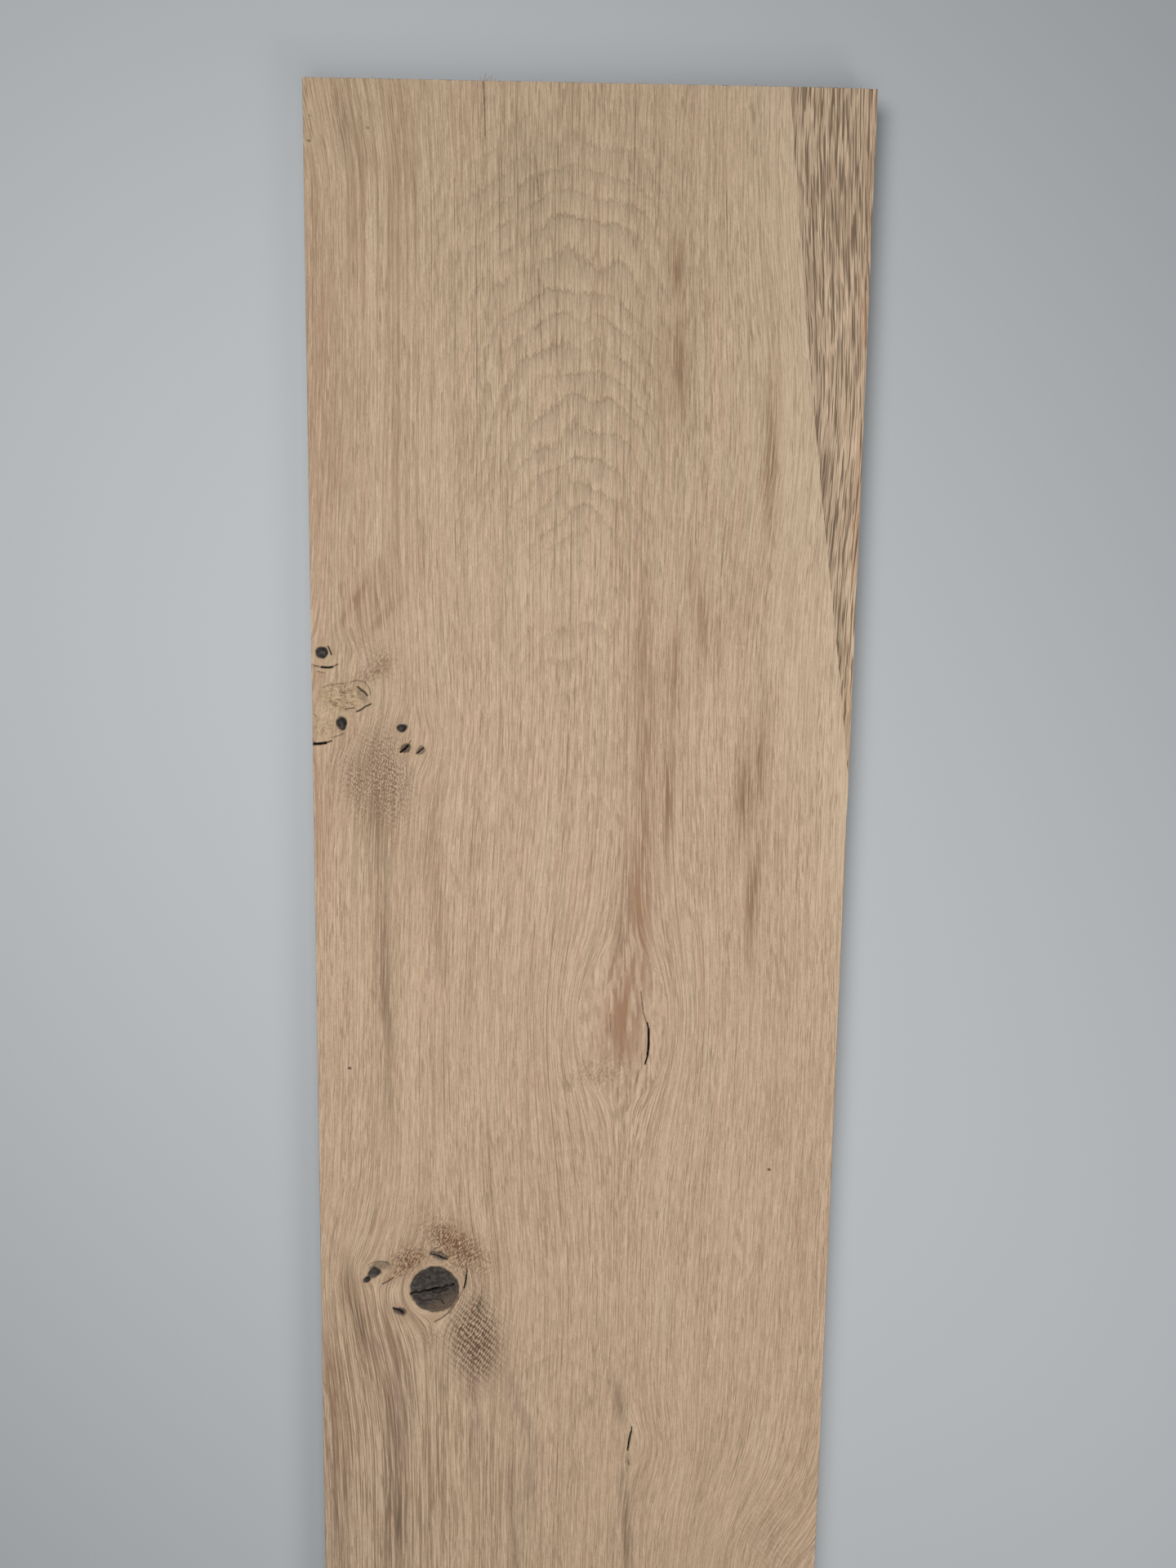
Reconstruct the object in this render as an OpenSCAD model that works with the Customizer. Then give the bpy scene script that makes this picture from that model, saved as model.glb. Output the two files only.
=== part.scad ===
// A wide oak plank, one board sawn from the log and planed on its upper face, apart from a corner
// that the planer missed. It lies flat on its underside.
// X runs across the width, Y along the grain and Z up through the thickness, and the origin is in
// the middle of the underside.
// The end towards +Y is called the sawn end, and distances along the board are measured from it.
// Distances across the board are measured from its left-hand edge, towards -X.

/* [Board] */
// Length along the grain
board_length = 2000; // [1000:10:4000]
// Width across the face
board_width = 300; // [250:1:450]
// Thickness between the underside and the planed face
board_thickness = 27; // [20:0.5:60]
// Easing of the four long arrises
arris = 0.6; // [0.2:0.1:2]

/* [Rough corner] */
// Width of the rough-sawn corner on the planed face, at the sawn end
rough_width = 46; // [20:1:90]
// Length of the rough-sawn corner along the right-hand edge
rough_length = 365; // [150:5:900]
// How far it lies below the planed face, at the corner of the sawn end
rough_depth = 0.5; // [0.2:0.1:3]

/* [Dead knot] */
// Place of the dead knot: from the left-hand edge, from the sawn end
dead_knot_place = [67.5, 671]; // [20:0.5:900]
// Diameter of the dead knot
dead_knot_diameter = 29; // [15:1:50]
// How far the middle of the dead knot has shrunk below the face
dead_knot_sink = 0.5; // [0.2:0.1:2]
// Length of the drying check across the dead knot
dead_knot_check_length = 23; // [8:1:40]
// Angle of that check from square across the board
dead_knot_check_angle = 11; // [-45:1:45]
// Greatest width of that check
dead_knot_check_width = 1.2; // [0.4:0.1:3]

/* [Pin knots] */
// Depth of the open heart of each pin knot
pin_depth = 1.8; // [0.5:0.1:2]
// Pin knot on the left-hand edge: from the left-hand edge, from the sawn end, diameter
edge_pin = [6.5, 297.5, 6]; // [4:0.5:900]
// Open heart of the burl below it: from the left-hand edge, from the sawn end, diameter
burl_pin = [16, 336, 6]; // [4:0.5:900]
// Upper pin knot of the group of three: from the left-hand edge, from the sawn end, diameter
upper_pin = [49.5, 337.5, 5]; // [4:0.5:900]
// Lower pin knot of the group of three: from the left-hand edge, from the sawn end, diameter
lower_pin = [51.5, 349, 4.5]; // [4:0.5:900]
// Right-hand pin knot of the group of three: from the left-hand edge, from the sawn end, diameter
right_pin = [60, 350, 4.5]; // [4:0.5:900]
// Pin knot beside the dead knot: from the left-hand edge, from the sawn end, diameter
beside_pin = [33, 660.5, 6]; // [4:0.5:900]
// Pin knot under the dead knot: from the left-hand edge, from the sawn end, diameter
under_pin = [48, 687, 5]; // [4:0.5:900]
// Pin knot over the dead knot: from the left-hand edge, from the sawn end, diameter
over_pin = [72, 649.5, 6]; // [4:0.5:900]

/* [Splits] */
// Depth of the drying splits and checks
split_depth = 8; // [2:0.5:16]
// Middle split: from the left-hand edge, from the sawn end to its middle, length, greatest width
middle_split = [190.5, 519.5, 24, 1.2]; // [0.4:0.1:900]
// Lower split: from the left-hand edge, from the sawn end to its middle, length, greatest width
lower_split = [184.5, 768.5, 15, 1]; // [0.4:0.1:900]
// Lean of the two splits from the length of the board
split_lean = 3; // [-20:1:20]
// Check in the sawn end: from the left-hand edge, length, width at the end
end_check = [94.5, 27, 0.7]; // [0.4:0.1:400]

/* [Chips] */
// Size of the chips in the left-hand arris
chip_size = 3; // [1:0.5:6]
// Places of the two chips, from the sawn end
chip_places = [305, 347]; // [20:0.5:900]

/* [Hidden] */
$fn = 96;
wood_colour = [0.72, 0.635, 0.54];
// How far a cutting shape reaches past the surface that it cuts
overcut = 5;
pins = [edge_pin, burl_pin, upper_pin, lower_pin, right_pin, beside_pin, under_pin, over_pin];
splits = [middle_split, lower_split];
// The border of the rough corner leaves the sawn end at this angle to the length
rough_angle = atan(rough_width / rough_length);
rough_run = norm([rough_width, rough_length]);
// Width of the rough corner square to its border, at the corner of the sawn end
rough_reach = rough_width * cos(rough_angle);
rough_slope = atan(rough_depth / rough_reach);

// Radius of a circle that passes through both ends of a chord and rises to a given height over it
function bow_radius(chord, rise) = (pow(chord / 2, 2) + pow(rise, 2)) / (2 * rise);

// Puts its children on the planed face
module on_face(from_left, from_end)
    translate([from_left - board_width / 2, board_length / 2 - from_end, board_thickness])
        children();

// The board's section, with its four long arrises eased
module section() {
    edge = board_width / 2;
    polygon([
        [arris - edge, 0],
        [edge - arris, 0],
        [edge, arris],
        [edge, board_thickness - arris],
        [edge - arris, board_thickness],
        [arris - edge, board_thickness],
        [-edge, board_thickness - arris],
        [-edge, arris],
    ]);
}

module blank()
    rotate([90, 0, 0])
        linear_extrude(board_length, center = true)
            section();

// What is missing over the rough corner, which falls away from its straight border
module rough_corner()
    translate([board_width / 2 - rough_width, board_length / 2, board_thickness])
        rotate(rough_angle)
            rotate([0, rough_slope, 0])
                translate([0, -rough_run - rough_reach, 0])
                    cube([rough_reach + overcut, rough_run + 2 * rough_reach, overcut]);

// A shallow round bowl, as wide as its diameter at the face
module bowl(diameter, depth) {
    radius = bow_radius(diameter, depth);
    translate([0, 0, radius - depth]) sphere(radius);
}

// A slot along Y that is widest in its middle and comes to a point at both ends
module slot(length, width) {
    radius = bow_radius(length, width / 2);
    aside = radius - width / 2;
    translate([0, 0, -split_depth])
        linear_extrude(split_depth + overcut)
            intersection() {
                translate([aside, 0]) circle(radius);
                translate([-aside, 0]) circle(radius);
            }
}

module dead_knot()
    on_face(dead_knot_place[0], dead_knot_place[1]) {
        bowl(dead_knot_diameter, dead_knot_sink);
        rotate(dead_knot_check_angle - 90) slot(dead_knot_check_length, dead_knot_check_width);
    }

module plank()
    color(wood_colour)
        difference() {
            blank();
            rough_corner();
            dead_knot();
            for (pin = pins)
                on_face(pin[0], pin[1]) bowl(pin[2], pin_depth);
            for (split = splits)
                on_face(split[0], split[1]) rotate(-split_lean) slot(split[2], split[3]);
            on_face(end_check[0], 0) slot(2 * end_check[1], end_check[2]);
            for (place = chip_places)
                on_face(0, place) sphere(d = chip_size);
        }

plank();
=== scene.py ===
# %% [markdown]
# # A wide oak plank
# One board of oak lies on a pale floor, planed face up. Its edges are straight, its ends are cut
# across, and on one corner of the sawn end the planer has missed the wood, so it is still rough.
# The construction is already packed as a frame, so this lesson never moves or resizes it. It builds
# a finer skin over the same board and gives every surface the finish of the real wood.
# Lengths are metres, X runs across the board, Y along the grain and Z up.

# %% Load the frame
import math
import random
from typing import NamedTuple

import bmesh
import bpy
import numpy as np
from mathutils import Matrix, Vector, noise


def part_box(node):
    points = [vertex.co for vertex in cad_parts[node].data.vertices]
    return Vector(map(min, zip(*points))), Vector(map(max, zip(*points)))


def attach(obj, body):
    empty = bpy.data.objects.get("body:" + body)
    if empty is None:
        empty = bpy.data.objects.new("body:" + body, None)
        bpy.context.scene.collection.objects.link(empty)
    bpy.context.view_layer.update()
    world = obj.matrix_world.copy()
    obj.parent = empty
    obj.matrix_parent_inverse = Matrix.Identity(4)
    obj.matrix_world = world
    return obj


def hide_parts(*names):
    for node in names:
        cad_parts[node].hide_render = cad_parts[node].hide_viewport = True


MM = 0.001
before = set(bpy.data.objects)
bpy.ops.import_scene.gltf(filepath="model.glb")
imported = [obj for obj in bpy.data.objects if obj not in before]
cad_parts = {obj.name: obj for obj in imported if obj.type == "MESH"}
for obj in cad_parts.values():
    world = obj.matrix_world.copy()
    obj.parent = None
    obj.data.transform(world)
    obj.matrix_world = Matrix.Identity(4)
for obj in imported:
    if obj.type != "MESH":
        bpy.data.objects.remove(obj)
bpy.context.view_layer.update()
low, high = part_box("plank")
WIDTH, LENGTH, THICKNESS = high - low
LEFT, RIGHT = low.x, high.x
END = high.y
FACE = high.z
print(f"board {WIDTH / MM:.0f} x {LENGTH / MM:.0f} x {THICKNESS / MM:.0f} mm")

# %% [markdown]
# ## The camera
# The board is seen almost square on, from about two thirds of a metre above its face. A camera
# with no rotation already looks straight down with +Y at the top of the picture, so three small
# turns are enough. They were measured from the way the two long edges draw together.

# %% Camera
CAMERA_FROM_LEFT = 146.5 * MM
CAMERA_FROM_END = 283.6 * MM
CAMERA_OVER_FACE = 654.6 * MM
CAMERA_TURNS_DEG = (-7.37, -0.53, 0.82)
FOCAL_LENGTH_MM = 27.04
SENSOR_LONG_SIDE_MM = 36.0
CLIP_START = 10 * MM

camera_data = bpy.data.cameras.new("camera")
camera_data.sensor_width = SENSOR_LONG_SIDE_MM
camera_data.lens = FOCAL_LENGTH_MM
camera_data.clip_start = CLIP_START
camera = bpy.data.objects.new("camera", camera_data)
camera.location = (LEFT + CAMERA_FROM_LEFT, END - CAMERA_FROM_END, FACE + CAMERA_OVER_FACE)
camera.rotation_euler = [math.radians(turn) for turn in CAMERA_TURNS_DEG]
bpy.context.scene.collection.objects.link(camera)
bpy.context.scene.camera = camera
print("camera at", [round(value, 3) for value in camera.location])

# %% [markdown]
# ## The board's body
# A cube stretched to the board and cut into a grid keeps all six sides closed and gives the relief
# and the grain enough points to ride on. The four long arrises of a planed board are slightly
# eased: a cut beside each one, and a small move of the corner between the cuts, rounds them.

# %% Body
GRID_STEPS = (6 * MM, 8 * MM, 7 * MM)
ARRIS = 0.6 * MM
ARRIS_PULL = 0.3 * ARRIS
TOUCH = 1e-6


def edges_along(bm, axis):
    """The edges of a straight-sided body that run along one axis."""
    found = []
    for edge in bm.edges:
        run = edge.verts[1].co - edge.verts[0].co
        if abs(run[axis]) > 0.5 * run.length:
            found.append(edge)
    return found


def cut(bm, point, normal):
    """Cuts all the body's faces where a plane crosses them, and keeps both sides."""
    everything = bm.verts[:] + bm.edges[:] + bm.faces[:]
    bmesh.ops.bisect_plane(bm, geom=everything, dist=TOUCH, plane_co=point, plane_no=normal)


board = bmesh.new()
bmesh.ops.create_cube(board, size=1.0)
bmesh.ops.scale(board, vec=(WIDTH, LENGTH, THICKNESS), verts=board.verts)
bmesh.ops.translate(board, vec=(0, 0, THICKNESS / 2), verts=board.verts)
for axis, step in enumerate(GRID_STEPS):
    steps = round((high - low)[axis] / step)
    bmesh.ops.subdivide_edges(
        board, edges=edges_along(board, axis), cuts=steps - 1, use_grid_fill=True
    )
for side in (-1, 1):
    cut(board, (side * (WIDTH / 2 - ARRIS), 0, 0), (1, 0, 0))
for level in (ARRIS, THICKNESS - ARRIS):
    cut(board, (0, 0, level), (0, 0, 1))
print("body", len(board.faces), "faces")

# %% [markdown]
# ## Where the rough corner lies
# The planed wood ends along a straight line, from the sawn end to the right-hand edge, so one
# upright plane cuts the mesh along it and the line stays crisp. Past that line the wood is only
# half a millimetre lower, as the construction says, and it is the finish that sets it apart.

# %% Rough corner line
ROUGH_WIDTH = 46 * MM
ROUGH_LENGTH = 365 * MM
ROUGH_DEPTH = 0.5 * MM
rough_angle = math.atan(ROUGH_WIDTH / ROUGH_LENGTH)
ROUGH_ACROSS = Vector((math.cos(rough_angle), math.sin(rough_angle), 0))
ROUGH_START = Vector((RIGHT - ROUGH_WIDTH, END, 0))
cut(board, ROUGH_START, ROUGH_ACROSS)


def past_border(x, y):
    """How far points lie past the planed wood, square to its border: positive on the rough corner."""
    return (x - ROUGH_START.x) * ROUGH_ACROSS.x + (y - ROUGH_START.y) * ROUGH_ACROSS.y


print(f"border of the rough corner at {math.degrees(rough_angle):.1f} degrees to the grain")

# %% [markdown]
# ## The knots, checks and splits
# Each blemish has a place, measured as a joiner would: so far from the left-hand edge and so far
# down from the sawn end, in millimetres. A knot is a slightly turned oval that has shrunk below
# the face. A check is a thin crack along a few points. All were read off the board.

# %% Knots


class Knot(NamedTuple):
    across: float  # from the left-hand edge
    down: float  # from the sawn end
    wide: float
    long: float
    lean: float  # degrees
    sink: float  # depth of its middle below the face
    dark: float  # how black its heart is
    halo: float  # how strong the pale wood round it is


KNOTS = [
    Knot(67.3, 671.4, 29.5, 29, 0, 0.5, 0.97, 0.6),
    Knot(5.9, 297, 7.0, 6.6, 0, 1.8, 1.0, 0.6),
    Knot(16.2, 335.8, 5.6, 7.6, 0, 2.5, 1.0, 0.4),
    Knot(28.4, 320.6, 5.4, 8.6, 25, 0.3, 0.25, 0.2),
    Knot(49.8, 338, 6.2, 4.4, 20, 1.8, 1.0, 0.5),
    Knot(51.7, 349.5, 6.2, 4.6, 38, 1.0, 0.75, 0.5),
    Knot(60, 350.6, 5.6, 4.2, 45, 0.8, 0.6, 0.5),
    Knot(31.6, 660.9, 8.0, 6.4, 35, 1.0, 0.97, 0.5),
    Knot(27, 665.6, 5.0, 4.0, 30, 1.0, 1.0, 0.3),
    Knot(34.3, 657, 12, 5.6, 14, 0.3, 0.5, 0.3),
    Knot(46.4, 685.4, 7.6, 5.2, -22, 1.2, 0.75, 0.6),
    Knot(70, 650, 11, 5.2, -15, 0.6, 0.65, 0.4),
]


def oval(x, down, knot):
    """Distance from a knot's heart in parts of its own radius: 1 on its rim."""
    lean = math.radians(knot.lean)
    dx = (x - LEFT) / MM - knot.across
    dy = knot.down - down / MM
    along = dx * math.cos(lean) + dy * math.sin(lean)
    aside = dy * math.cos(lean) - dx * math.sin(lean)
    return np.hypot(along / (knot.wide / 2), aside / (knot.long / 2))


print(len(KNOTS), "knots")

# %% Checks and splits


class Check(NamedTuple):
    points: tuple  # (across, down) along the crack
    width: float
    depth: float
    # dark is how strongly painted shade blackens the crack
    dark: float = 1.0


CHECKS = [
    # the split beside the grown-over knot, and the fine checks that lead to it
    Check(((190.7, 510), (191, 519), (190.5, 526)), 0.9, 7),
    Check(((189.8, 506.5), (190.7, 510)), 0.5, 3, 0.9),
    Check(((190.5, 526), (189.2, 531)), 0.6, 4),
    Check(((185.8, 487.5), (187.4, 500), (188.9, 505), (189.8, 506.5)), 0.4, 0.6, 0.55),
    Check(((185.9, 534.6), (184.1, 542)), 0.4, 0.4, 0.4),
    Check(((175.3, 447.6), (176.8, 476)), 0.4, 0.3, 0.35),
    Check(((168.3, 501), (169, 512)), 0.4, 0.3, 0.3),
    Check(((178.6, 538), (179.2, 560)), 0.4, 0.3, 0.3),
    # the lower split
    Check(((185.4, 762), (184.2, 768.5), (183.6, 774)), 0.7, 7),
    Check(((185.8, 759), (185.4, 762)), 0.4, 2, 0.8),
    Check(((183.6, 780.5), (184.6, 784)), 0.5, 0.5, 0.5),
    Check(((94, -1), (94.3, 6), (94.8, 15)), 0.4, 0.6, 0.55),
    Check(((94.8, 15), (95.1, 27)), 0.4, 0.5, 0.35),
    Check(((121.2, 36), (123.5, 57)), 0.4, 0.3, 0.35),
    Check(((123.4, 93), (126, 139)), 0.4, 0.3, 0.4),
    # the drying checks of the dead knot
    Check(((52.9, 674.4), (55.6, 673.2), (58.4, 673.6), (61, 672.2)), 0.7, 1.5),
    Check(((61, 672.2), (63.4, 672.4), (66, 671.4), (69.4, 670.6)), 1.1, 3),
    Check(((69.4, 670.6), (72, 670.8), (74.4, 669.2), (76.6, 669.2), (78.8, 667.8)), 0.8, 1.5),
    Check(((65.4, 672), (66.4, 673.8), (69.4, 673.8), (72, 672.4), (75, 670.8)), 0.6, 0.8, 0.85),
    Check(((57.6, 677), (60, 678.4), (64, 678.8), (66.4, 677.6), (68.6, 678)), 0.4, 0.5, 0.85),
    Check(((68.6, 678), (71, 678.2), (72.6, 680.4)), 0.4, 0.5, 0.85),
    Check(((62.4, 661), (64.2, 663.2), (64, 665.6)), 0.4, 0.4, 0.6),
    # the crack round its lower right side
    Check(((86.4, 658), (86, 662)), 0.4, 0.8, 0.9),
    Check(((86, 662), (85.6, 666), (84.6, 670.4)), 0.7, 1.2),
    Check(((84.6, 670.4), (82.7, 674.2), (80.8, 677.8), (78.4, 681.4)), 0.4, 0.6, 0.4),
    Check(((78.4, 681.4), (75.9, 685.7)), 1.6, 0.6, 0.5),
    Check(((75.9, 685.7), (71.6, 689.4), (67, 692)), 0.5, 0.8, 0.7),
    # the rims of the small knots beside it
    Check(((28, 656.6), (30, 655), (33, 654.2), (36.4, 654), (39, 654.6), (40.4, 656)), 0.4, 0.3, 0.5),
    Check(((36.5, 668.2), (39.5, 666.6), (42.7, 664.4)), 0.8, 0.8, 0.6),
    Check(((64.8, 649.2), (67, 649.6), (69, 650.4)), 0.5, 0.8, 0.9),
    Check(((69, 650.4), (72.2, 651.8)), 0.9, 1),
    Check(((72.2, 651.8), (75, 652.2)), 0.5, 0.8, 0.8),
    Check(((64.6, 648.8), (66.7, 646.5), (69.1, 644.9)), 0.4, 0.4, 0.55),
    Check(((42.8, 683.6), (47.9, 686.6)), 1.2, 1.5),
    # the cracks round the knots on the left-hand edge
    Check(((9.5, 293.6), (11.2, 298)), 0.6, 0.8, 0.9),
    Check(((1.2, 304.2), (5.5, 305)), 0.4, 0.8, 0.7),
    Check(((5.5, 305), (9.4, 305.2), (11.6, 304.9)), 0.9, 1.2),
    Check(((11.6, 304.9), (14.8, 303.2)), 0.4, 0.6, 0.8),
    Check(((3.4, 307.4), (7.2, 308.3)), 0.4, 0.4, 0.5),
    Check(((6.1, 316.4), (9.9, 314.8), (14.2, 314.2), (18, 313.6)), 0.4, 0.4, 0.5),
    Check(((21.9, 312.8), (25.3, 312), (29.5, 313), (31.9, 316.2), (32.5, 320)), 0.5, 0.3, 0.5),
    Check(((25.6, 315.6), (27.2, 317.2), (29.4, 318.6), (30.8, 320.4)), 0.6, 0.8, 0.95),
    Check(((18.6, 328), (22.9, 327.4)), 0.4, 0.6, 0.7),
    Check(((24.6, 329.4), (27, 328.4), (29.4, 326.6), (32.7, 325)), 0.6, 0.8, 0.9),
    Check(((10.2, 323.2), (11.6, 324.6)), 1.4, 0.4, 0.35),
    Check(((15.8, 318), (17.2, 318.8)), 1.6, 0.4, 0.35),
    Check(((22.2, 320.8), (22.8, 321)), 1.2, 0.4, 0.4),
    Check(((12.6, 325.8), (14, 326.4)), 0.9, 0.4, 0.35),
    Check(((0.8, 331), (2.4, 332.4)), 0.5, 0.4, 0.45),
    Check(((-1, 347.8), (3.4, 347.6), (7.4, 347)), 1.2, 2),
    Check(((7.4, 347), (10.6, 345.8)), 0.6, 1, 0.8),
    Check(((11, 344), (14.2, 343), (17.5, 341.6)), 0.4, 0.4, 0.55),
    # the slits in the small knots
    Check(((49, 351.6), (51.7, 349.5), (53, 348)), 0.8, 2),
    Check(((53, 348), (54.6, 345.2)), 0.4, 0.6, 0.6),
    Check(((58, 352.2), (61.6, 349.2)), 0.6, 1.5, 0.9),
    # insect holes and specks
    Check(((18.2, 535.5), (18.8, 535.5)), 1.1, 0.8, 0.8),
    Check(((262.8, 594.6), (263.6, 594.8)), 1.1, 0.8, 0.8),
    Check(((3.2, 18.6), (4, 19)), 0.5, 0.3, 0.45),
    Check(((2.4, 31), (3.6, 31.2)), 0.7, 0.4, 0.6),
    Check(((33.4, 24), (34.2, 24.4)), 0.8, 0.4, 0.45),
]


def crack_distance(x, down, points):
    """Distance in millimetres from a line through a few points."""
    px = (x - LEFT) / MM
    py = down / MM
    nearest = np.full(len(px), np.inf)
    for (ax, ay), (bx, by) in zip(points, points[1:]):
        run = (bx - ax) ** 2 + (by - ay) ** 2
        share = np.clip(((px - ax) * (bx - ax) + (py - ay) * (by - ay)) / run, 0, 1)
        nearest = np.minimum(nearest, np.hypot(px - ax - share * (bx - ax), py - ay - share * (by - ay)))
    return nearest


print(len(CHECKS), "checks and splits")

# %% [markdown]
# ## More points where there is more to see
# An even mesh that is fine enough for a crack of half a millimetre would have millions of faces.
# Instead the faces near a blemish are halved again and again, each round only where a finer relief
# needs it, and the plain wood keeps its wide faces.

# %% Refine
FINEST_ROUND = 4
ROUGH_ROUND = 3
FLOW_ROUND = 2
FIGURE_ROUND = 1
FIGURE_LENGTH = 900 * MM
END_ROUNDS = 2
CRACK_MARGIN_MM = 0.5
KNOT_MARGIN_MM = 1.0
FLOW_MARGIN_MM = 20.0
FACING = 0.9


def wanted(round_number, x, y, reach):
    """Which points, taken with a reach in metres round them, need this round of halving."""
    down = END - y
    reach_mm = reach / MM
    need = np.zeros(len(x), bool)
    if round_number <= FIGURE_ROUND:
        need |= down < FIGURE_LENGTH
    if round_number <= ROUGH_ROUND:
        need |= past_border(x, y) > -reach
    for knot in KNOTS:
        radius = max(knot.wide, knot.long) / 2
        far = np.hypot((x - LEFT) / MM - knot.across, down / MM - knot.down) - reach_mm
        need |= far < radius + KNOT_MARGIN_MM
        if round_number <= FLOW_ROUND:
            need |= far < radius + FLOW_MARGIN_MM
    for check in CHECKS:
        far = crack_distance(x, down, check.points) - reach_mm
        need |= far < check.width / 2 + CRACK_MARGIN_MM
    return need


def halve(bm, faces):
    """Cuts each of these faces once along and once across."""
    edges = {edge for face in faces for edge in face.edges}
    bmesh.ops.subdivide_edges(bm, edges=list(edges), cuts=1, use_grid_fill=True)
    bm.normal_update()


board.normal_update()
half_diagonal = math.hypot(GRID_STEPS[0], GRID_STEPS[1]) / 2
for round_number in range(1, FINEST_ROUND + 1):
    upper = [face for face in board.faces if face.normal.z > FACING]
    middles = np.array([face.calc_center_median() for face in upper])
    need = wanted(round_number, middles[:, 0], middles[:, 1], half_diagonal / 2 ** (round_number - 1))
    halve(board, [face for face, picked in zip(upper, need) if picked])
    print("round", round_number, len(board.faces), "faces")
for _ in range(END_ROUNDS):
    halve(board, [face for face in board.faces if abs(face.normal.y) > FACING])

# %% [markdown]
# ## A finish for each side
# The planed face, the rough corner, the sawn edges, the two ends and the underside look different,
# so each face of the mesh is told now, while the body is still square, which finish it takes.

# %% Sides
PLANED, ROUGH, EDGE, END_GRAIN, UNDERSIDE = range(5)
for face in board.faces:
    middle = face.calc_center_median()
    if abs(face.normal.y) > FACING:
        face.material_index = END_GRAIN
    elif abs(face.normal.x) > FACING:
        face.material_index = EDGE
    elif face.normal.z < 0:
        face.material_index = UNDERSIDE
    elif past_border(middle.x, middle.y) > 0:
        face.material_index = ROUGH
    else:
        face.material_index = PLANED

mesh = bpy.data.meshes.new("oak_plank")
board.to_mesh(mesh)
board.free()
plank = bpy.data.objects.new("oak_plank", mesh)
bpy.context.scene.collection.objects.link(plank)
square = np.empty(len(mesh.vertices) * 3)
mesh.vertices.foreach_get("co", square)
square = square.reshape(-1, 3)
triangles = sum(len(polygon.vertices) - 2 for polygon in mesh.polygons)
print("mesh", len(mesh.vertices), "points and", triangles, "triangles")

# %% [markdown]
# ## Shaping the relief
# Every point knows how far below the plain face it belongs: the rough corner lies a little lower,
# with coarse fibres standing on it, knots sink and cracks cut in. Each upright column of the board
# is then shortened by that depth, so that the edges and ends follow their upper line. The border
# of the planed wood bows a little, and where the planer missed, the edge of the board is ragged.

# %% Soft steps and noise


def smooth(start, stop, value):
    """0 before start, 1 after stop and a soft rise between."""
    share = np.clip((value - start) / (stop - start), 0, 1)
    return share * share * (3 - 2 * share)


def rough(points, steps, seed):
    """Soft noise from -1 to 1 at each point, whose lumps are as large as the steps."""
    scaled = points / np.array(steps) + seed
    return np.array([noise.noise(Vector(point)) for point in scaled])


print("soft steps and noise ready")

# %% Fibres of the rough corner
FIBRE_ACROSS = 2.2 * MM
FIBRE_ALONG = 20 * MM
FIBRE_HEIGHT = 0.07 * MM
FIBRE_FADE = 2 * MM
FINER_SHARE = 0.6

x, y, z = square.T
down = END - y
on_top = z > FACE - TOUCH
past = past_border(x, y)
on_rough = past > 0
rough_reach = ROUGH_WIDTH * math.cos(rough_angle)
depth = ROUGH_DEPTH * np.maximum(past, 0) / rough_reach
fibre = np.zeros(len(x))
fibre[on_rough] = rough(square[on_rough], (FIBRE_ACROSS, FIBRE_ALONG, 1), seed=3.7)
finer = rough(square[on_rough], (FIBRE_ACROSS / 2, FIBRE_ALONG / 2, 1), seed=8.1)
fibre[on_rough] += FINER_SHARE * finer
depth += FIBRE_HEIGHT * (1 - fibre) * smooth(0, FIBRE_FADE, past)
print(np.count_nonzero(on_rough), "points on the rough corner")

# %% Sunken knots
RIM_SOFT_MM = 0.6
RIM_WOBBLE_MM = 0.7
RIM_WOBBLE_STEP = 3 * MM
COLLAR_MM = 1.3
FAR_RING = 4.0
BROWNER_BELOW = 0.8
BROWNER_RIGHT = 0.5
BROWNER_RISE = (0.1, 0.95)
BROWNER_REACH = 1.3

core = np.zeros(len(x))
halo = np.zeros(len(x))
nearest_ring = np.full(len(x), FAR_RING)
for knot in KNOTS:
    ring = oval(x, down, knot)
    radius = min(knot.wide, knot.long) / 2
    near = ring < FAR_RING
    ring[near] += RIM_WOBBLE_MM / radius * rough(square[near], (RIM_WOBBLE_STEP,) * 3, seed=knot.across)
    soft = RIM_SOFT_MM / radius
    depth += knot.sink * MM * np.clip(1 - ring**2, 0, 1) * on_top
    core = np.maximum(core, knot.dark * (1 - smooth(1 - soft, 1 + soft, ring)))
    outside = (ring - 1) * radius
    halo = np.maximum(halo, knot.halo * np.exp(-(((outside - COLLAR_MM) / COLLAR_MM) ** 2)))
    nearest_ring = np.minimum(nearest_ring, ring)
dead_knot = KNOTS[0]
below_heart = (down / MM - dead_knot.down) / (dead_knot.long / 2)
right_of_heart = ((x - LEFT) / MM - dead_knot.across) / (dead_knot.wide / 2)
browner = smooth(*BROWNER_RISE, BROWNER_BELOW * below_heart + BROWNER_RIGHT * right_of_heart)
browner *= oval(x, down, dead_knot) < BROWNER_REACH
print(np.count_nonzero(core), "points in the knots")

# %% Cracks and chips
CRACK_SOFT_MM = 0.35
CRACK_INNER_MM = 0.1
CRACK_WALL = 1.2
CHIP_RADIUS = 1.6 * MM
CHIPS_DOWN = (305 * MM, 347 * MM)

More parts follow.
